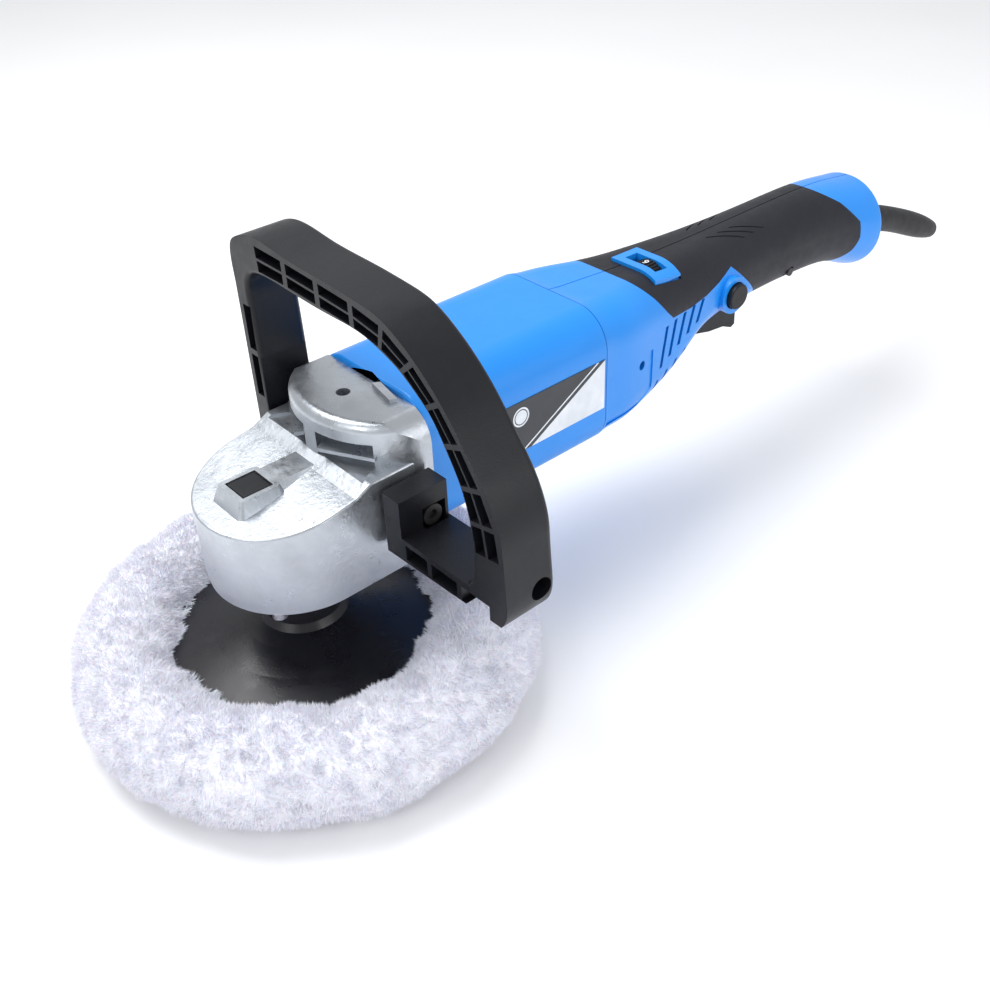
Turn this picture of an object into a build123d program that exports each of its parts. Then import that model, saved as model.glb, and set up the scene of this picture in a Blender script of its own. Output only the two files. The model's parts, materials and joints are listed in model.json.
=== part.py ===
from build123d import *
import os
import math

os.makedirs("parts", exist_ok=True)

# Rotary polisher, millimetres. Origin on the spindle axis at the bonnet's working face.
# +Z up along the spindle, +X towards the rear handle, +Y the operator's right.
MOTOR_Z = 113.5          # height of the motor axis
PAD_R = 88.0             # backing pad radius (180 mm class)
BONNET_R = 89.0          # bonnet roll centre radius
BONNET_TUBE = 25.5       # bonnet roll half thickness
COLLAR_R = 25.6          # bearing cover neck radius
HEAD_R = 42.0            # gearbox head half width
MOTOR_HW = 42.5          # motor housing half width
MOTOR_TOP = 152.0
MOTOR_BOT = 75.0
MOTOR_X0, MOTOR_X1 = 53.0, 166.0
GRIP_END = 428.0
HANDLE_X0, HANDLE_D = 22.0, 27.0   # loop handle front plane and depth
CROWN_N, PINION_N = 48, 8


def save(name, shape):
    if isinstance(shape, (list, ShapeList)):
        shape = Compound(list(shape))
    shape.label = name
    export_step(shape, f"parts/{name}.step")
    print(name, len(shape.solids()), round(shape.volume))


def cyl(r, z0, z1, x=0.0, y=0.0):
    return Pos(x, y, (z0 + z1) / 2) * Cylinder(r, z1 - z0)


def cylx(r, x0, x1, y=0.0, z=MOTOR_Z):
    return Pos((x0 + x1) / 2, y, z) * Rot(0, 90, 0) * Cylinder(r, x1 - x0)


def cyly(r, y0, y1, x, z):
    return Pos(x, (y0 + y1) / 2, z) * Rot(90, 0, 0) * Cylinder(r, y1 - y0)


def box(x0, x1, y0, y1, z0, z1):
    return Pos((x0 + x1) / 2, (y0 + y1) / 2, (z0 + z1) / 2) * Box(x1 - x0, y1 - y0, z1 - z0)


def revolve_rz(pts):
    return revolve(Plane.XZ * make_face(Polyline([(r, z) for r, z in pts], close=True)), Axis.Z)


def yz_face(pts, x):
    return make_face(Polyline([(x, y, z) for y, z in pts], close=True))


def prism_xz(pts, y0, y1):
    f = make_face(Polyline([(x, y0, z) for x, z in pts], close=True))
    return extrude(f, amount=y1 - y0, dir=(0, 1, 0))


def prism_xy(pts, z0, z1):
    f = make_face(Polyline([(x, y, z0) for x, y in pts], close=True))
    return extrude(f, amount=z1 - z0, dir=(0, 0, 1))


def try_fillet(shape, edges, r):
    for k in (1.0, 0.7, 0.4):
        try:
            s = fillet(edges, r * k)
            if s.is_valid and s.volume > 0:
                return s
        except Exception:
            pass
    print("fillet skipped", r)
    return shape


def section(x, hw, zt, zb, r):
    r = min(r, hw - 0.05, (zt - zb) / 2 - 0.05)
    pl = Plane(origin=(x, 0, (zt + zb) / 2), x_dir=(0, 1, 0), z_dir=(1, 0, 0))
    return pl * RectangleRounded(2 * hw, zt - zb, r)


# ---------------------------------------------------------------- bevel gears
# Both gears scale about the apex where the axes cross, so the same tooth form
# holds at each slant distance. The pinion tooth is the shape left by the
# crown's straight-sided teeth as the pair rolls.
D1 = math.atan(PINION_N / CROWN_N)
C1, S1 = math.cos(D1), math.sin(D1)
L0 = 28.0 / C1
PITCH = 2 * math.pi * 28.0 / CROWN_N
ADD_C, DED_C = 0.75, 1.25
T0 = 0.18 * PITCH


def space_half_angle(h):
    t = T0 - h * math.tan(math.radians(20))
    return (PITCH / 2 - t) / 28.0


def pinion_ok(rho, xk, phi):
    for i in range(-70, 71):
        psi = math.radians(i)
        y = rho * math.sin(phi + psi)
        zz = rho * math.cos(phi + psi)
        r = math.hypot(xk, y)
        th = math.atan2(y, xk) - psi * PINION_N / CROWN_N
        L = r * C1 + zz * S1
        h = (r * S1 - zz * C1) * L0 / L
        if h < -DED_C + 0.12:
            return False
        if h < ADD_C + 0.08:
            p = 2 * math.pi / CROWN_N
            d = (th + p / 2) % p - p / 2
            if abs(d) > space_half_angle(h) - 0.006:
                return False
    return True


def pinion_profile():
    rows = []
    rp = L0 * S1
    for h in (0.95, 0.55, 0.0, -0.5, -0.85):
        rho, xk = rp - h * C1, L0 * C1 + h * S1
        phi = 0.0
        while phi < math.pi / PINION_N * 0.62 and pinion_ok(rho, xk, phi + 0.004):
            phi += 0.004
        rows.append((rho, xk, max(phi, 0.02)))
    return rows


PROFILE = pinion_profile()


def pinion_ring(k):
    pts = []
    for n in range(PINION_N):
        a = 2 * math.pi * n / PINION_N
        for rho, xk, phi in PROFILE:
            pts.append((rho * k, xk * k, a - phi))
        for rho, xk, phi in reversed(PROFILE):
            pts.append((rho * k, xk * k, a + phi))
    return [(28.0 * k, r * math.sin(t), MOTOR_Z - r * math.cos(t)) for r, x, t in pts]


def loft_poly(a, b):
    return loft([make_face(Polyline(a, close=True)), make_face(Polyline(b, close=True))], ruled=True)


pinion = loft_poly(pinion_ring(25.0 / 28.0), pinion_ring(31.5 / 28.0))


def crown_pt(u_half, h, k, a):
    r = (L0 * C1 + h * S1) * k
    z = MOTOR_Z - (L0 * S1 - h * C1) * k
    t = a + u_half / 28.0
    return (r * math.cos(t), r * math.sin(t), z)


def crown_tooth(n):
    a = 2 * math.pi * (n + 0.5) / CROWN_N
    out = []
    for k in (25.0 / 28.0, 31.0 / 28.0):
        q = []
        for h, s in ((-DED_C - 0.6, -1), (ADD_C, -1), (ADD_C, 1), (-DED_C - 0.6, 1)):
            t = T0 - h * math.tan(math.radians(20))
            q.append(crown_pt(s * t, h, k, a))
        out.append(make_face(Polyline(q, close=True)))
    return loft(out, ruled=True)


def crown_ring(k, h):
    return [crown_pt(0, h, k, 2 * math.pi * (i + 0.5) / CROWN_N) for i in range(CROWN_N)]


def flat_ring(k, z):
    return [(x, y, z) for x, y, _ in crown_ring(k, -DED_C)]


z_in = MOTOR_Z - (L0 * S1 + DED_C * C1) * 24.6 / 28.0
z_out = MOTOR_Z - (L0 * S1 + DED_C * C1) * 31.4 / 28.0
blank = loft_poly(crown_ring(31.4 / 28.0, -DED_C), crown_ring(24.6 / 28.0, -DED_C))
blank = blank + prism_xy([(x, y) for x, y, _ in crown_ring(31.4 / 28.0, -DED_C)], z_out - 6, z_out)
blank = blank - prism_xy([(x, y) for x, y, _ in crown_ring(23.0 / 28.0, -DED_C)], z_out - 2, z_out + 6)
crown = blank.fuse(*[crown_tooth(n) for n in range(CROWN_N)])
crown = crown + cyl(13, z_out - 14, z_out - 5)
crown = crown - cyl(7.5, 60, 130)
for i in range(8):
    a = i * math.pi / 4
    crown = crown - cyl(3.2, z_out - 7, z_out, 17 * math.cos(a), 17 * math.sin(a))
save("crown_gear", crown)
GEAR_TOP = z_out - 2
GEAR_HUB = z_out - 14
pin = pinion + cylx(5, 31.4, 33) + cylx(7.2, 32.8, 37.3)
pin = pin - cylx(3.5, 32.6, 40)
save("pinion", pin)

# ---------------------------------------------------------------- spindle group
save("spindle", cyl(7, 27, 53) + cyl(10.5, 53, 65.5) + cyl(8.5, 65.5, GEAR_HUB) + cyl(7.5, GEAR_HUB, 113.2))
save("gear_retaining_ring", cyl(10, GEAR_TOP + 0.0, GEAR_TOP + 1.5) - cyl(7.5, 60, 130))
pad = revolve_rz([(0, 14), (84, 14), (88, 17), (88, 23), (84.5, 26), (81, 26.6), (79.5, 25.6), (78, 27.2),
                  (69.5, 29.0), (68.2, 28.0), (66.8, 28.0), (65.8, 29.8), (45, 34.5), (30, 38.6), (22, 41.5),
                  (19.5, 45), (18.5, 50.5), (17, 52), (0, 52)])
pad = pad - cyl(12.5, 22, 60)
save("backing_pad", pad)
save("pad_hub_insert", cyl(12.5, 22, 52.6) - cyl(7, 27, 60))
bonnet = Pos(0, 0, 22.8) * Torus(BONNET_R, 22.8)
bonnet = bonnet + cyl(BONNET_R, 0, 14)
pad_solid = revolve_rz([(0, 14), (84, 14), (88, 17), (88, 23), (84.5, 26), (81, 26.6), (79.5, 25.6), (78, 27.2),
                        (69.5, 29.0), (68.2, 28.0), (66.8, 28.0), (65.8, 29.8), (45, 34.5), (30, 38.6), (22, 60), (0, 60)])
bonnet = bonnet - pad_solid
save("wool_bonnet", bonnet.solids().sort_by(SortBy.VOLUME)[-1])
save("spindle_bearing", cyl(20, 66, 78) - cyl(8.55, 60, 90))
save("upper_spindle_bush", cyl(8.9, 108.2, 115.5) - cyl(7.55, 100, 113.6))

# ---------------------------------------------------------------- gearbox
def head_face(r, x1):
    return Circle(r) + Pos(x1 / 2, 0) * Rectangle(x1, 2 * r)


cover = extrude(Plane.XY.offset(70.5) * head_face(41.2, 44), amount=5.5) + cyl(COLLAR_R, 62, 72)
cover = try_fillet(cover, cover.edges().group_by(Axis.Z)[0], 2.0)
cover = cover - cyl(20, 66, 90) - cyl(11.2, 55, 70)
cover = cover - Pos(-24, 0, 66.3) * Rot(0, 90, 0) * Cylinder(2.2, 8)
COVER_SCREWS = [(-27, -27), (-27, 27), (34, -33), (34, 33)]
for x, y in COVER_SCREWS:
    cover = cover - cyl(2.3, 60, 80, x, y)
save("bearing_cover", cover)

head = extrude(Plane.XY.offset(76.3) * head_face(HEAD_R, 53), amount=48.7)
head = head - prism_xz([(-60, 111.6), (-40, 112.4), (-22, 114.8), (11, 120.5), (19, 124.6), (26, 130), (-60, 130)], -60, 60)
head = try_fillet(head, head.faces().filter_by(lambda f: f.center().Z > 103 and f.normal_at().Z > 0.3).edges().filter_by(lambda e: abs(e.center().Y) > 30 or e.center().X < -30), 3.0)


bell_face = (Pos(53, 0) * Ellipse(36, 43.5)) & (Pos(26.5, 0) * Rectangle(53, 100))
bell = extrude(Plane.XY.offset(100) * bell_face, amount=46)
shoulder = section(5, 43.5, 147, 60, 16)
bell = bell & extrude(shoulder, amount=60, dir=(1, 0, 0))
bell = try_fillet(bell, bell.faces().sort_by(Axis.Z)[-1].edges().filter_by(lambda e: e.center().X < 50), 5.0)
gb = head + bell
# rear wall flange to the motor ring
boss = loft([Plane.XY.offset(104) * Pos(-17.5, 0) * RectangleRounded(34, 30, 4), Plane.XY.offset(121.6) * Pos(-17, 0) * RectangleRounded(20.5, 20.5, 2)])
ridge = loft([Plane.XY.offset(109) * Pos(4, 0) * Rectangle(30, 30), Plane.XY.offset(121.4) * Pos(4, 0) * Rectangle(24, 15)])
gb = gb + ridge + boss
# cavity for the gears and the pinion
gb = gb - (cyl(34, 70, 110.3)) - (box(16, 37.5, -20, 20, 90, 122))
# exhaust mouth through the front of the bell, on both flanks of the nose
for sgn in (-1, 1):
    m = Pos(22, sgn * 19, 130) * Rot(0, 0, sgn * -28) * Box(26, 30, 12)
    gb = gb - m
# front bearing bore, fan chamber mouth
gb = gb - cylx(16, 37.4, 47.5) - cylx(30, 47.5, 60)
gb = gb - cylx(8.5, 30, 50)
# lock button shaft and pin bore
gb = gb - box(-24.8, -9.2, -7.8, 7.8, 112.9, 127) - cyl(2.8, 100, 115, -17, 0)
gb = gb - cyl(8.9, 100, 115.5)
gb = gb - cyl(3.4, 134, 150, 37.5, 0)
gb = gb + prism_xy([(46, -24), (49.5, -25), (53, -8), (49.6, -6)], 144, 148.3)
for x, y in COVER_SCREWS:
    gb = gb - cyl(2.0, 70, 90, x, y)
for s in (-1, 1):
    gb = gb - cyly(3.0, min(s * 34, s * 50), max(s * 34, s * 50), 41, 105)
gb = gb.solids().sort_by(SortBy.VOLUME)[-1]
# louvre lip inside the mouth
save("gearbox_housing", gb)
lips = []
for sgn in (-1, 1):
    p = Pos(25, sgn * 19.5, 129.5) * Rot(0, 0, sgn * -28) * Box(9, 29.0, 1.8)
    lips.append(p)
lip = (lips[0] + lips[1]) - gb
save("exhaust_louvres", [s for s in lip.solids() if s.volume > 50])
save("cover_screws", [cyl(2.0, 70.5, 86, x, y) + cyl(3.6, 67.6, 70.5, x, y) - (Pos(x, y, 67.6) * Box(5, 1, 2)) for x, y in COVER_SCREWS])

btn = box(-24.3, -9.7, -7.3, 7.3, 116, 121.4)
btn = try_fillet(btn, btn.faces().sort_by(Axis.Z)[-1].edges(), 0.8)
save("spindle_lock_button", btn)
save("spindle_lock_pin", cyl(2.5, GEAR_TOP + 1.2, 116, -17, 0))

# ---------------------------------------------------------------- motor
hous = extrude(section(MOTOR_X0, 41.6, 149.5, 76.5, 20), amount=42, dir=(1, 0, 0)) + extrude(section(93, MOTOR_HW, MOTOR_TOP, MOTOR_BOT, 20), amount=MOTOR_X1 - 93, dir=(1, 0, 0))
hous = try_fillet(hous, hous.faces().sort_by(Axis.X)[0].edges(), 1.5)
strip = Pos(112, -31.5, 144.5) * Rot(40, 0, 0) * Box(74, 9, 3)
hous = hous - strip - Pos(112, 31.5, 144.5) * Rot(-40, 0, 0) * Box(74, 9, 3)
hous = hous - cylx(36, 50, 140.0)
hous = hous - cylx(31, 139, 144) - cylx(11.0, 143, 155) - cylx(6.5, 140, 170)
hous = hous - extrude(section(159, 38.5, 148, 79, 17), amount=20, dir=(1, 0, 0))
for s in (-1, 1):
    hous = hous - (box(122, 136, min(s * 10, s * 39), max(s * 10, s * 39), 108.0, 119.0))
hous = hous.solids().sort_by(SortBy.VOLUME)[-1]
lab = box(96, 164.5, -MOTOR_HW - 0.35, -MOTOR_HW + 0.25, 101, 129)
hous = hous - lab
save("motor_housing", hous)
save("rating_label", lab)
save("fan_baffle", cylx(35.9, 66, 68) - cylx(26, 60, 70))
save("front_motor_bearing", cylx(16, 37.5, 47.5) - cylx(6.06, 30, 50))
save("rear_motor_bearing", cylx(11, 144, 151) - cylx(4.06, 140, 160))
save("armature_shaft", cylx(3.5, 32.7, 37.5) + cylx(6, 37.5, 141) + cylx(4, 141, 153))
fan = cylx(31.5, 62.5, 64) + cylx(9, 54, 64)
for i in range(12):
    fan = fan + Pos(0, 0, MOTOR_Z) * Rot(i * 30, 0, 0) * Pos(58.5, 0, 20) * Rot(0, 0, 18) * Box(8.5, 1.6, 21)
fan = fan & cylx(31.5, 54, 64)
save("cooling_fan", fan - cylx(6, 50, 70))
core = cylx(22, 74, 112)
for i in range(12):
    core = core - Pos(93, 0, MOTOR_Z) * Rot(i * 30, 0, 0) * Pos(0, 0, 19) * Box(40, 2.4, 8)
save("armature_core", core - cylx(6, 70, 120))
save("armature_windings", [cylx(20, 69, 73.8) - cylx(6, 60, 80), cylx(20, 112.2, 118) - cylx(6, 100, 120)])
com = cylx(12, 121, 139) + cylx(14, 119.5, 121)
for i in range(12):
    com = com - Pos(130.5, 0, MOTOR_Z) * Rot(i * 30, 0, 0) * Pos(0, 0, 12) * Box(17, 0.6, 2)
save("commutator", com - cylx(6, 110, 142))
stat = cylx(35.9, 74, 112) - cylx(22.8, 70, 120)
for s in (-1, 1):
    stat = stat - box(70, 120, -26, 26, MOTOR_Z + (s * 22 if s > 0 else -30), MOTOR_Z + (30 if s > 0 else -22))
save("stator_core", stat.solids())
wind = []
for s in (-1, 1):
    z0, z1 = (MOTOR_Z + 23.5, MOTOR_Z + 29.5) if s > 0 else (MOTOR_Z - 29.5, MOTOR_Z - 23.5)
    wind.append(box(70.5, 117, -18, 18, z0, z1) - box(74.5, 113, -10, 10, z0 - 1, z1 + 1))
save("stator_windings", wind)
hold, brush, spring = [], [], []
for s in (-1, 1):
    a, b = sorted((s * 15.0, s * 36.0))
    hold.append(box(124, 134, a, b, 108.2, 118.8) - box(126, 132, a - 1, b + 1, 110.5, 116.5))
    a, b = sorted((s * 12.35, s * 27.0))
    brush.append(box(126.05, 131.95, a, b, 110.55, 116.45))
    a, b = sorted((s * 27.0, s * 35.5))
    spring.append(cyly(2.4, a, b, 129, MOTOR_Z) - cyly(1.6, a - 1, b + 1, 129, MOTOR_Z))
save("brush_holders", hold)
save("carbon_brushes", brush)
save("brush_springs", spring)

# ---------------------------------------------------------------- rear housing
STN = [(166.4, 42.5, 152, 75, 20), (184, 41.3, 150, 75, 21), (205, 37.5, 148.3, 75.5, 22), (224, 33.5, 147.2, 78, 22),
       (242, 31, 146.7, 85, 22), (258, 29.3, 146.3, 94, 22), (276, 27.6, 146, 98.2, 22), (300, 25.6, 146, 98.8, 22),
       (330, 24.3, 146, 98.4, 22), (365, 24.2, 145.8, 97, 22), (388, 25.4, 144.9, 94.6, 23.5), (406, 27.5, 143.0, 89.5, 26),
       (420, 29.4, 141.0, 83.6, 28.2), (428, 29.7, 140.3, 81.2, 29)]


def shell(t, x0=None, x1=None):
    st = []
    for i, (x, hw, zt, zb, r) in enumerate(STN):
        if i == 0 and x0 is not None:
            x = x0
        if i == len(STN) - 1 and x1 is not None:
            x = x1
        st.append(section(x, hw - t, zt - t, zb + t, max(r - t, 5)))
    return loft(st)


outer = shell(0)
outer = try_fillet(outer, outer.faces().sort_by(Axis.X)[-1].edges(), 3.0)
mid = shell(1.6, 165, 430)
inner = shell(3.6, 165, 425.5)
GRIP = [(207, 160), (207, 148), (214, 140), (221, 131), (226.5, 125.5), (243, 124.5), (258, 126), (270, 129), (283, 133.5), (297, 121),
        (313, 106), (320, 90), (380, 90), (398, 93), (405, 103), (407, 112), (405.5, 123), (392, 137), (374, 149), (366, 160)]
grip_prism = prism_xz(GRIP, -60, 60)
grip_in = prism_xz([(x, z) for x, z in GRIP], -60, 60)
rh = outer - inner
rh = rh - (grip_prism - mid)
om = (outer & grip_prism) - mid
# dial window, trigger slot, button, vents, screw hole
rh = rh - box(226.2, 235.8, -19.6, 3.6, 135, 160)
om = om - box(220.5, 241.5, -24.5, 8.5, 135, 160)
rh = rh - box(266, 317, -8.4, 8.4, 88, 110)
rh = rh - cyly(7.9, -40, -20, 282, 118)
ringb = cyly(10.8, -30.5, -24, 282, 118) - cyly(7.9, -40, -20, 282, 118)
ringb = ringb - inner
rh = rh + ringb
om = om - cyly(11.2, -40, -20, 282, 118)
for i in range(5):
    x = 216 + i * 8.5
    zt = 123 + i * 0.6
    zb = 100 + i * 3.2
    v = prism_xz([(x - 1.3, zb), (x + 3.6, zt), (x + 6.4, zt), (x + 1.5, zb)], -60, 60)
    rh = rh - v
for i in range(4):
    x = 212 + i * 9
    zb = 82 + i * 2.6
    v = prism_xz([(x - 1.3, zb), (x + 1.2, zb + 11), (x + 4.0, zb + 11), (x + 1.5, zb)], -60, 60)
    rh = rh - v
for s in (-1, 1):
    a, b = sorted((s * 36.0, s * 60))
    p = box(168, 207, a, b, 86, 116) - shell(0.7, 165, 430)
    rh = rh - p
for x, z in ((197, 110.6), (345, 108)):
    rh = rh - cyly(2.6, -60, -8, x, z)
    om = om - cyly(3.6, -60, -8, x, z)
# grip grooves across the top
for x0 in (289, 299, 309):
    for s in (-1, 1):
        om = om - (Pos(x0 + 4, s * 12, 146) * Rot(0, 0, -s * 68 + 90 + (0 if s > 0 else 0)) * Box(26, 0.9, 9) - shell(0.8, 165, 430))
# parting groove
om = om - (box(200, 430, -0.3, 0.3, 120, 160) - shell(0.6, 165, 430))
rh = rh - (box(160, 440, -0.3, 0.3, 70, 160) - shell(0.6, 165, 430))
rh = rh - cylx(12.0, 423, 440, 0, 107.0)
for nm, s in (("rear_housing_right", 1), ("rear_housing_left", -1)):
    a, b = sorted((0, s * 60))
    h = rh & box(160, 440, a, b, 60, 170)
    save(nm, h.solids().sort_by(SortBy.VOLUME)[-1])
for nm, s in (("grip_overmould_right", 1), ("grip_overmould_left", -1)):
    a, b = sorted((0, s * 60))
    h = om & box(160, 440, a, b, 60, 170)
    save(nm, [q for q in h.solids() if q.volume > 30])
save("housing_screws", [cyly(2.5, -22, -9, 345, 108), cyly(2.5, -33, -20, 197, 110.6)])

bez = box(221, 241, -24, 8, 142.0, 149.5) - box(226.4, 235.6, -18.9, 2.9, 130, 160)
bez = bez & (shell(-1.6, 165, 430) - shell(1.6, 165, 430))
save("dial_bezel", bez.solids().sort_by(SortBy.VOLUME)[-1])
wheel = cylx(11.5, 227, 235, -8, 136.7)
for i in range(36):
    wheel = wheel - Pos(231, -8, 136.7) * Rot(i * 10, 0, 0) * Pos(0, 0, 11.5) * Box(9, 0.9, 1.2)
save("speed_dial", wheel - cylx(2.2, 220, 240, -8, 136.7))
save("speed_control_module", box(217, 226.4, -14, 14, 112, 132) + cylx(2.1, 226, 236, -8, 136.7) + box(217, 226.4, -12, -4, 130, 140))
trig = prism_xz([(269, 104), (269, 92), (276, 87), (290, 83.5), (303, 82), (311, 78.5), (314, 80), (313.5, 90), (314, 104)], -7.6, 7.6)
trig = try_fillet(trig, trig.edges().filter_by(Axis.Y).group_by(Axis.Z)[0], 1.5)
save("trigger", trig)
save("trigger_spring", cyl(3, 104.2, 114, 300, 0) - cyl(2.2, 100, 120, 300, 0))
save("switch_body", box(264, 318, -10.5, 10.5, 108.2, 126) - cyl(3.4, 107, 114, 300, 0))
save("lock_on_button", try_fillet(cyly(7.4, -33.6, -22, 282, 118), cyly(7.4, -33.6, -22, 282, 118).faces().sort_by(Axis.Y)[0].edges(), 1.0) + cyly(3, -22, -16, 282, 118))

# ---------------------------------------------------------------- strain relief
path = Spline([(416, 0, 108), (440, 0, 105.5), (475, 0, 96), (512, 0, 81), (541, 0, 68)])
secs = []
for t, r in ((0.0, 10.0), (0.22, 9.6), (0.55, 8.4), (0.96, 7.0), (1.0, 6.2)):
    secs.append(Plane(origin=path @ t, z_dir=path % t) * Circle(r))
boot = loft(secs)
secs = [Plane(origin=(path @ t) + (path % t) * d, z_dir=path % t) * Circle(4.2) for t, d in ((0.0, -2), (0.3, 0), (0.6, 0), (1.0, 2))]
boot = boot - loft(secs)
boot = boot + (cylx(13.5, 417.5, 421, 0, 108) - cylx(8.0, 410, 430, 0, 108))
save("strain_relief", boot.solids().sort_by(SortBy.VOLUME)[-1])
save("cord_clamp", box(396, 406, -9, 9, 106, 109.5) - cyl(1.6, 100, 112, 401, 6.2) - cyl(1.6, 100, 112, 401, -6.2))
save("cord_clamp_screws", [cyl(1.6, 101, 110.8, 401, 6.2), cyl(1.6, 101, 110.8, 401, -6.2)])

# ---------------------------------------------------------------- loop handle
OUT = [(54, 91), (53.4, 203.5), (52, 207), (47.7, 211), (40, 215), (12, 214.4), (-24, 213), (-42, 212), (-58, 209.8), (-72, 203.2), (-86, 193), (-98, 181), (-108, 168.5),
       (-117, 156.7), (-122, 147), (-125, 137), (-126, 124), (-127, 110), (-126.5, 99), (-123, 92.5), (-116, 89), (-50, 89), (-50, 91)]
far = [(54, 91), (52.5, 127), (54.5, 188), (54.5, 203.5), (52.5, 208.5), (47.7, 212), (40, 215)]
INN = [(44, 91), (42.5, 127), (44.6, 180), (44.0, 190), (40, 195.5), (34, 197.5), (16, 198), (-21, 197.2), (-46, 196.4), (-56, 193.8), (-66.5, 189.8), (-75, 184.6), (-85, 176.4), (-92, 166.4),
       (-99, 154.7), (-103, 144.4), (-105.5, 133), (-106.5, 120), (-105, 108), (-101, 103), (-94, 102), (-58, 102), (-50, 102)]
HX = HANDLE_X0


def yz(p):
    return (HX, p[0], p[1])


out_main = [yz(p) for p in far[2:] + OUT[5:-3]]
inn_main = [yz(p) for p in INN[:-3]]
e1 = Spline(out_main)
e2 = Spline(inn_main)
o_end, i_end = OUT[-3], INN[-4]
edges = [Line(yz((54, 91)), out_main[0]), e1, Line(out_main[-1], yz((-45, 89))), Line(yz((-45, 89)), yz((-45, 121))), Line(yz((-45, 121)), yz((-57.5, 121))),
         Line(yz((-57.5, 121)), yz((-57.5, 102))), Line(yz((-57.5, 102)), inn_main[-1]), e2, Line(inn_main[0], yz((54, 91)))]
handle_face = make_face(edges)
X1 = HANDLE_X0 + HANDLE_D
loop = extrude(handle_face, amount=HANDLE_D, dir=(1, 0, 0))
loop = loop - box(10, 24, -46, -44.9, 80, 130)
for rear, rank, rad in ((True, 0, 4.5), (True, 1, 3.0), (False, 0, 2.5)):
    fx = HANDLE_X0 + (HANDLE_D if rear else 0)
    fe = [e for e in loop.edges() if abs(e.bounding_box().min.X - fx) < 0.05 and abs(e.bounding_box().max.X - fx) < 0.05]
    big = sorted(fe, key=lambda e: -e.length)
    loop = try_fillet(loop, [big[rank]], rad)


def along(pa, pb, n):
    return [(pa[0] + (pb[0] - pa[0]) * i / n, pa[1] + (pb[1] - pa[1]) * i / n) for i in range(n + 1)]


# pockets on the front face: two rows along the bar with a rib between and cross ribs
pairs = [((34, 212.5), (33, 200)), ((10, 212), (10, 200.4)), ((-14, 211), (-14, 199.8)), ((-38, 209.8), (-38, 199)), ((-58, 206.8), (-56, 196.4)),
         ((-76, 197.5), (-69, 191.5)), ((-90.5, 185.5), (-83.5, 181)), ((-102.5, 171.5), (-93.5, 168)), ((-113.5, 156), (-102.5, 152.5)),
         ((-121, 141), (-106.8, 138)), ((-123.6, 125), (-109, 123))]
for i in range(len(pairs) - 1):
    (o0, n0), (o1, n1) = pairs[i], pairs[i + 1]

    def mix(a, b, t):
        return (a[0] + (b[0] - a[0]) * t, a[1] + (b[1] - a[1]) * t)
    g0, g1 = 0.07, 0.93
    for lo, hi in ((0.02, 0.46), (0.56, 0.98)):
        q = [mix(mix(o0, n0, lo), mix(o1, n1, lo), g0), mix(mix(o0, n0, lo), mix(o1, n1, lo), g1),
             mix(mix(o0, n0, hi), mix(o1, n1, hi), g1), mix(mix(o0, n0, hi), mix(o1, n1, hi), g0)]
        loop = loop - extrude(yz_face(q, HANDLE_X0 - 1), amount=17, dir=(1, 0, 0))
for z0, z1 in ((130, 152), (155, 178)):
    loop = loop - box(HANDLE_X0 - 1, HANDLE_X0 + 14, 45.6, 51.2, z0, z1)
for y0, y1 in ((-116, -98), (-95, -78), (-75, -60)):
    loop = loop - box(HANDLE_X0 - 1, HANDLE_X0 + 14, y0, y1, 91.5, 99.5)
# bolt pocket in the near lug, tool hole in the near bar, bolt bores
loop = loop - box(34.5, 47.5, -60, -50.5, 98.5, 111.5)
loop = loop - cyly(5.5, -140, -100, 41, 104.8)
loop = loop - cyly(3.2, -60, -40, 41, 105) - cyly(3.2, 40, 60, 41, 105)
loop = loop - box(20, 53.2, -44.0, 44.0, 70, 152)
save("d_handle", loop.solids().sort_by(SortBy.VOLUME)[-1])
save("handle_bolts", [cyly(3.0, -50.5, -36, 41, 105) + cyly(5.2, -56.5, -52, 41, 105) - cyly(2.5, -57, -54, 41, 105) + cyly(3.0, -52, -50, 41, 105),
                      cyly(3.0, 36, 58, 41, 105) + cyly(5.2, 55.6, 60, 41, 105) - cyly(2.5, 58, 62, 41, 105)])
save("handle_washers", [cyly(6.2, -52, -50.5, 41, 105) - cyly(3.0, -60, -40, 41, 105), cyly(6.2, 54.2, 55.6, 41, 105) - cyly(3.0, 50, 60, 41, 105)])
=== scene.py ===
import bpy
import json
import math
import random
from mathutils import Vector, Matrix, noise


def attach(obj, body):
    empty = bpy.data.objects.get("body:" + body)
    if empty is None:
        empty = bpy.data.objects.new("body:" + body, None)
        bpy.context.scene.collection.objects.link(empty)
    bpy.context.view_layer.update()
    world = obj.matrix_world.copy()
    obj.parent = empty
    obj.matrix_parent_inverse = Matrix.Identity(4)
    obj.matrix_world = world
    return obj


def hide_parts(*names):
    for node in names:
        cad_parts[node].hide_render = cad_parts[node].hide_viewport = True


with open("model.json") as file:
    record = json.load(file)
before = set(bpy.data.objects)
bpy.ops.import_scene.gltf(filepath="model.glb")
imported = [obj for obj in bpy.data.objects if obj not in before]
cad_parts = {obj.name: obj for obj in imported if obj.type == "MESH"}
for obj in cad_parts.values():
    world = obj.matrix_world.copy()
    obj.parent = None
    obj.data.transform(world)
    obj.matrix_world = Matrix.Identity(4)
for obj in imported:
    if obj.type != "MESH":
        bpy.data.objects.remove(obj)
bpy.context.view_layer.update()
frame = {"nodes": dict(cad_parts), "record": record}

N = frame["nodes"]


# ------------------------------------------------------------------ materials
def new_mat(name):
    m = bpy.data.materials.new(name)
    m.use_nodes = True
    nt = m.node_tree
    b = nt.nodes["Principled BSDF"]
    return m, nt, b


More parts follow.
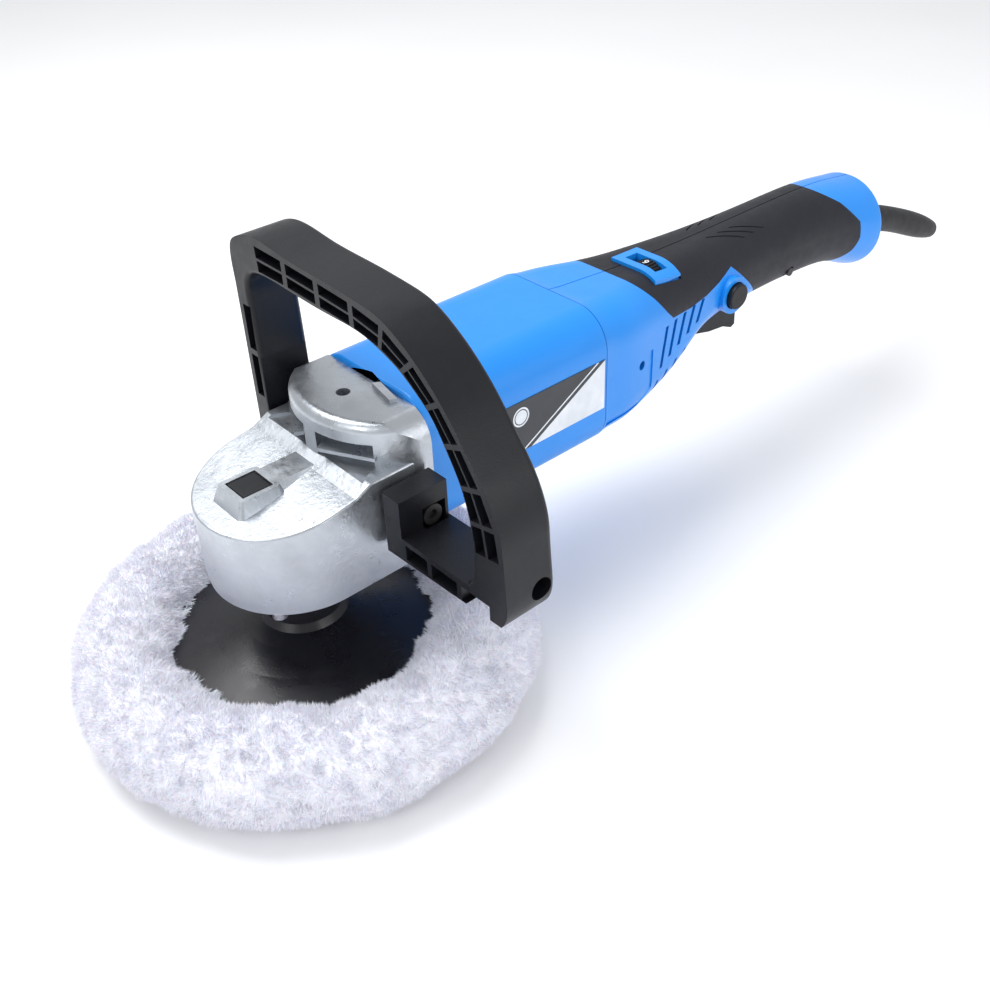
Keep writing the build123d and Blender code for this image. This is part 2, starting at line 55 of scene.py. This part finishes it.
def ramp(nt, src, stops):
    r = nt.nodes.new("ShaderNodeValToRGB")
    e = r.color_ramp.elements
    while len(e) < len(stops):
        e.new(0.5)
    for el, (p, c) in zip(e, stops):
        el.position = p
        el.color = (*c, 1.0) if len(c) == 3 else (c[0], c[0], c[0], 1)
    nt.links.new(src, r.inputs["Fac"])
    return r.outputs["Color"]


def noise_tex(nt, scale, detail=4.0, rough=0.5):
    tc = nt.nodes.new("ShaderNodeTexCoord")
    n = nt.nodes.new("ShaderNodeTexNoise")
    n.inputs["Scale"].default_value = scale
    n.inputs["Detail"].default_value = detail
    n.inputs["Roughness"].default_value = rough
    nt.links.new(tc.outputs["Object"], n.inputs["Vector"])
    return n.outputs["Fac"]


def bump(nt, b, src, strength, dist=0.001, prev=None):
    bp = nt.nodes.new("ShaderNodeBump")
    bp.inputs["Strength"].default_value = strength
    bp.inputs["Distance"].default_value = dist
    nt.links.new(src, bp.inputs["Height"])
    if prev is not None:
        nt.links.new(prev, bp.inputs["Normal"])
    nt.links.new(bp.outputs["Normal"], b.inputs["Normal"])
    return bp.outputs["Normal"]


def lerp(a, k):
    return tuple(min(1, x * k) for x in a)


def surface(name, col, rough, metal=0.0, var=0.12, big=18, grain=900, gstr=0.15, rvar=0.08, coat=0.0, spec=0.5):
    m, nt, b = new_mat(name)
    f = noise_tex(nt, big, 5, 0.6)
    nt.links.new(ramp(nt, f, [(0.3, lerp(col, 1 - var)), (0.7, lerp(col, 1 + var))]), b.inputs["Base Color"])
    g = noise_tex(nt, grain, 3, 0.55)
    f2 = noise_tex(nt, big * 5, 4, 0.6)
    nt.links.new(ramp(nt, f2, [(0.3, (max(0.02, rough - rvar),)), (0.7, (rough + rvar,))]), b.inputs["Roughness"])
    b.inputs["Metallic"].default_value = metal
    b.inputs["Specular IOR Level"].default_value = spec
    b.inputs["Coat Weight"].default_value = coat
    b.inputs["Coat Roughness"].default_value = 0.15
    bump(nt, b, g, gstr, 0.0004)
    return m


def label_mat():
    m, nt, b = new_mat("label_foil")
    tc = nt.nodes.new("ShaderNodeTexCoord")
    sp = nt.nodes.new("ShaderNodeSeparateXYZ")
    nt.links.new(tc.outputs["Object"], sp.inputs[0])

    def mth(op, a, c):
        n = nt.nodes.new("ShaderNodeMath")
        n.operation = op
        for i, v in enumerate((a, c)):
            if isinstance(v, (int, float)):
                n.inputs[i].default_value = v
            else:
                nt.links.new(v, n.inputs[i])
        return n.outputs[0]
    x, z = sp.outputs[0], sp.outputs[2]
    # silver corner below a diagonal line
    line = mth("SUBTRACT", mth("MULTIPLY", mth("SUBTRACT", x, 0.113), 0.55), mth("SUBTRACT", z, 0.1005))
    silver = mth("GREATER_THAN", line, 0.0)
    stripe = mth("LESS_THAN", mth("ABSOLUTE", mth("ADD", line, 0.0030), 0.0), 0.0005)
    dx = mth("SUBTRACT", x, 0.1075)
    dz = mth("SUBTRACT", z, 0.1205)
    d2 = mth("ADD", mth("MULTIPLY", dx, dx), mth("MULTIPLY", dz, dz))
    badge = mth("LESS_THAN", d2, 0.0052 ** 2)
    hole = mth("LESS_THAN", mth("ABSOLUTE", mth("SUBTRACT", d2, 0.0040 ** 2), 0.0), 0.0000022)
    white = mth("SUBTRACT", mth("MAXIMUM", mth("MAXIMUM", silver, stripe), badge), hole)
    nz = noise_tex(nt, 60, 4, 0.6)
    c1 = ramp(nt, nz, [(0.3, (0.020, 0.022, 0.028)), (0.7, (0.032, 0.034, 0.042))])
    c2 = ramp(nt, nz, [(0.3, (0.62, 0.66, 0.72)), (0.7, (0.82, 0.85, 0.9))])
    mix = nt.nodes.new("ShaderNodeMix")
    mix.data_type = "RGBA"
    nt.links.new(white, mix.inputs["Factor"])
    nt.links.new(c1, mix.inputs[6])
    nt.links.new(c2, mix.inputs[7])
    nt.links.new(mix.outputs[2], b.inputs["Base Color"])
    b.inputs["Roughness"].default_value = 0.28
    bump(nt, b, noise_tex(nt, 700, 2), 0.05, 0.0003)
    return m


MATS = {
    "cast_aluminium": surface("cast_aluminium", (0.50, 0.53, 0.57), 0.34, 0.88, 0.12, 30, 420, 0.35, 0.09),
    "steel": surface("steel", (0.50, 0.50, 0.52), 0.30, 1.0, 0.08, 40, 900, 0.10),
    "black_plastic": surface("black_plastic", (0.0075, 0.0080, 0.0110), 0.38, 0.0, 0.18, 25, 1300, 0.22, 0.06, 0.0, 0.30),
    "pad_plastic": surface("pad_plastic", (0.0080, 0.0080, 0.0120), 0.30, 0.0, 0.2, 14, 700, 0.12, 0.07, 0.0, 0.4),
    "blue_plastic": surface("blue_plastic", (0.006, 0.250, 0.80), 0.34, 0.0, 0.05, 20, 1500, 0.10, 0.04, 0.15),
    "soft_grip": surface("soft_grip", (0.0095, 0.0100, 0.0165), 0.52, 0.0, 0.15, 30, 1700, 0.35, 0.05, 0.0, 0.35),
    "black_rubber": surface("black_rubber", (0.009, 0.009, 0.012), 0.50, 0.0, 0.15, 30, 1200, 0.3, 0.05, 0.0, 0.3),
    "copper_wire": surface("copper_wire", (0.62, 0.28, 0.13), 0.35, 0.9, 0.12, 60, 900, 0.3),
    "lamination": surface("lamination", (0.30, 0.30, 0.32), 0.45, 0.9, 0.1, 60, 900, 0.3),
    "bronze": surface("bronze", (0.60, 0.42, 0.20), 0.35, 0.9, 0.1, 60, 900, 0.15),
    "carbon": surface("carbon", (0.03, 0.03, 0.03), 0.7, 0.0, 0.2, 60, 900, 0.3),
    "label_foil": label_mat(),
    "blackened_steel": surface("blackened_steel", (0.055, 0.052, 0.055), 0.42, 0.6, 0.2, 60, 900, 0.2),
}
slot_of = {s["node"]: s["material_slot"] for s in frame["record"]["subparts"]}
special = {"backing_pad": "pad_plastic", "handle_bolts": "blackened_steel", "handle_washers": "blackened_steel", "housing_screws": "blackened_steel"}
for n, o in N.items():
    m = MATS.get(special.get(n, slot_of.get(n)), MATS["steel"])
    o.data.materials.clear()
    o.data.materials.append(m)

# ------------------------------------------------------------------ wool bonnet
rng = random.Random(7)
R0, TUBE = 0.0885, 0.0228


def wool_mat():
    m, nt, b = new_mat("wool_pile")
    # base colour varies at random between greyer lavender and lighter white; the darker patches are partly random
    # tone and partly painted shade standing in for the shading dimples between lumps of pile
    f = noise_tex(nt, 75, 7, 0.68)
    nt.links.new(ramp(nt, f, [(0.34, (0.77, 0.77, 0.85)), (0.60, (0.86, 0.86, 0.915))]), b.inputs["Base Color"])
    b.inputs["Roughness"].default_value = 0.95
    b.inputs["Specular IOR Level"].default_value = 0.1
    b.inputs["Sheen Weight"].default_value = 0.4
    b.inputs["Subsurface Weight"].default_value = 0.15
    b.inputs["Subsurface Scale"].default_value = 0.004
    # painted light: a faint lavender-white emission makes the wool glow slightly and lifts its shadows for a soft
    # look, though the wool is no lamp
    b.inputs["Emission Color"].default_value = (0.88, 0.88, 1.0, 1)
    b.inputs["Emission Strength"].default_value = 0.03
    bump(nt, b, noise_tex(nt, 500, 5, 0.7), 0.35, 0.0015)
    return m


WOOL = wool_mat()


def bonnet_point(a, t):
    """a runs round the axis, t round the roll: 0 outward, 90 deg up, 180 inward, 270 down."""
    rag = noise.noise(Vector((math.cos(a) * 2.2, math.sin(a) * 2.2, 3.1)))
    rag2 = noise.noise(Vector((math.cos(a) * 6.5, math.sin(a) * 6.5, 8.7)))
    rx = 0.0250
    if math.cos(t) < 0:
        rx = 0.0270 + 0.0065 * rag + 0.004 * rag2 - 0.002
    rz = TUBE if math.sin(t) > 0 else TUBE
    r = R0 + rx * math.cos(t)
    z = TUBE + rz * math.sin(t) * (1.0 + (0.05 * rag if math.sin(t) > 0 else 0))
    lump = noise.fractal(Vector((math.cos(a) * R0, math.sin(a) * R0, 0)) * 52 + Vector((0, 0, t * 1.6)), 0.8, 2.0, 4)
    k = 0.0026 * lump
    r += k * math.cos(t)
    z += k * math.sin(t)
    if math.cos(t) < -0.05:
        rr = r * 1000
        pad_z = 26.4 + (84.5 - rr) * 0.222
        z = max(z, (pad_z - 1.0) / 1000)
    return Vector((r * math.cos(a), r * math.sin(a), max(z, 0.0004)))


def build_bonnet():
    na, ntt = (260, 60)
    vs, fs = [], []
    for i in range(na):
        a = 2 * math.pi * i / na
        for j in range(ntt):
            t = -math.pi / 2 + 2 * math.pi * j / ntt
            vs.append(bonnet_point(a, t))
    for i in range(na):
        for j in range(ntt):
            i2, j2 = (i + 1) % na, (j + 1) % ntt
            fs.append((i * ntt + j, i2 * ntt + j, i2 * ntt + j2, i * ntt + j2))
    me = bpy.data.meshes.new("wool_pile_bonnet")
    me.from_pydata([v[:] for v in vs], [], fs)
    me.update()
    o = bpy.data.objects.new("wool_pile_bonnet", me)
    bpy.context.scene.collection.objects.link(o)
    o.data.materials.append(WOOL)
    for p in me.polygons:
        p.use_smooth = True
    return o


def build_pile(count):
    """Curled tufts of pile standing out of the roll, each a short tapered blade."""
    vs, fs = [], []
    for _ in range(count):
        a = rng.uniform(0, 2 * math.pi)
        t = rng.uniform(-0.35 * math.pi, 1.12 * math.pi)
        p = bonnet_point(a, t)
        n = Vector((math.cos(t) * math.cos(a), math.cos(t) * math.sin(a), math.sin(t)))
        tan = Vector((-math.sin(a), math.cos(a), 0))
        c = noise.noise_vector(p * 160)
        d = (n * 0.75 + tan * (0.9 * c.x) + n.cross(tan) * (0.9 * c.y) + Vector((rng.gauss(0, .28), rng.gauss(0, .28), rng.gauss(0, .28)))).normalized()
        L = rng.uniform(0.0022, 0.0048)
        w = rng.uniform(0.00012, 0.00026)
        side = d.cross(Vector((rng.uniform(-1, 1), rng.uniform(-1, 1), rng.uniform(-1, 1)))).normalized()
        bend = n.cross(d) * rng.uniform(-0.5, 0.5) - Vector((0, 0, 0.15))
        p0 = p - n * 0.0008
        p1 = p0 + d * L * 0.55
        p2 = p0 + (d + bend * 0.6).normalized() * L
        if p2.z < 0.0003 or p1.z < 0.0003:
            continue
        k = len(vs)
        vs += [p0 - side * w, p0 + side * w, p1 + side * w * 0.8, p1 - side * w * 0.8, p2]
        fs += [(k, k + 1, k + 2, k + 3), (k + 3, k + 2, k + 4)]
    me = bpy.data.meshes.new("wool_pile_tufts")
    me.from_pydata([v[:] for v in vs], [], fs)
    me.update()
    o = bpy.data.objects.new("wool_pile_tufts", me)
    bpy.context.scene.collection.objects.link(o)
    o.data.materials.append(WOOL)
    return o


bon = build_bonnet()
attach(bon, "spindle_group")
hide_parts("wool_bonnet")
tufts = build_pile(170000)
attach(tufts, "spindle_group")


# ------------------------------------------------------------------ dial numeral
def text_piece(name, body, txt, size, matrix, mat):
    cu = bpy.data.curves.new(name, "FONT")
    cu.body = txt
    cu.size = size
    cu.extrude = 0.00008
    cu.align_x = "CENTER"
    cu.align_y = "CENTER"
    tmp = bpy.data.objects.new(name + "_c", cu)
    bpy.context.scene.collection.objects.link(tmp)
    dg = bpy.context.evaluated_depsgraph_get()
    me = bpy.data.meshes.new_from_object(tmp.evaluated_get(dg))
    me.transform(matrix)
    bpy.data.objects.remove(tmp)
    o = bpy.data.objects.new(name, me)
    bpy.context.scene.collection.objects.link(o)
    o.data.materials.clear()
    o.data.materials.append(mat)
    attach(o, body)
    return o


PRINT = surface("white_print", (0.80, 0.82, 0.84), 0.5, 0.0, 0.05, 200, 900, 0.05)
for k in range(6):
    ang = math.radians(-60 + 24 * k) if k else math.radians(0)
    M = Matrix.Translation(Vector((0.231, -0.008, 0.1367))) @ Matrix.Rotation(math.radians(60 * k), 4, "X") @ Matrix.Translation(Vector((0, 0, 0.01153))) @ Matrix.Rotation(math.radians(90), 4, "Z")
    text_piece(f"dial_numeral_{k + 1}", "dial_wheel", str(6 - k), 0.0062, M, PRINT)

# ------------------------------------------------------------------ floor, light, camera
bpy.ops.mesh.primitive_plane_add(size=8, location=(0, 0, -0.0002))
floor = bpy.context.object
floor.name = "floor"
fm, fnt, fb = new_mat("floor_paper")
fnt.links.new(ramp(fnt, noise_tex(fnt, 3, 2), [(0.3, (0.90, 0.90, 0.91)), (0.7, (0.93, 0.93, 0.94))]), fb.inputs["Base Color"])
fb.inputs["Roughness"].default_value = 0.9
floor.data.materials.append(fm)
w = bpy.data.worlds.new("studio")
bpy.context.scene.world = w
w.use_nodes = True
w.node_tree.nodes["Background"].inputs[0].default_value = (0.97, 0.985, 1.0, 1)
w.node_tree.nodes["Background"].inputs[1].default_value = 0.72


def area(name, loc, target, size, power, col=(1, 1, 1)):
    ld = bpy.data.lights.new(name, "AREA")
    ld.size = size
    ld.energy = power
    ld.color = col
    o = bpy.data.objects.new(name, ld)
    bpy.context.scene.collection.objects.link(o)
    o.location = loc
    o.rotation_euler = (Vector(target) - Vector(loc)).to_track_quat("-Z", "Y").to_euler()
    return o


area("key", (-0.05, 0.45, 1.25), (0.15, 0, 0.1), 0.8, 13)
area("near", (0.35, -1.1, 0.55), (0.15, 0, 0.1), 0.6, 3.5)
area("front", (-1.0, -0.2, 0.8), (0.0, 0, 0.1), 0.6, 3.5)

yaw, pitch, roll = math.radians(49.89), math.radians(36.03), math.radians(-2.43)
F = Vector((math.cos(yaw) * math.cos(pitch), math.sin(yaw) * math.cos(pitch), -math.sin(pitch)))
Rt = F.cross(Vector((0, 0, 1))).normalized()
U = Rt.cross(F)
R2 = Rt * math.cos(roll) + U * math.sin(roll)
U2 = -Rt * math.sin(roll) + U * math.cos(roll)
cd = bpy.data.cameras.new("photo_camera")
cd.lens = 1180.0 / 990.0 * 36.0
cd.sensor_width = 36.0
cd.clip_start = 0.01
cam = bpy.data.objects.new("photo_camera", cd)
bpy.context.scene.collection.objects.link(cam)
M = Matrix((R2, U2, -F)).transposed().to_4x4()
M.translation = Vector((-0.20983, -0.39777, 0.42156))
cam.matrix_world = M
bpy.context.scene.camera = cam
bpy.context.scene.view_settings.view_transform = "Standard"
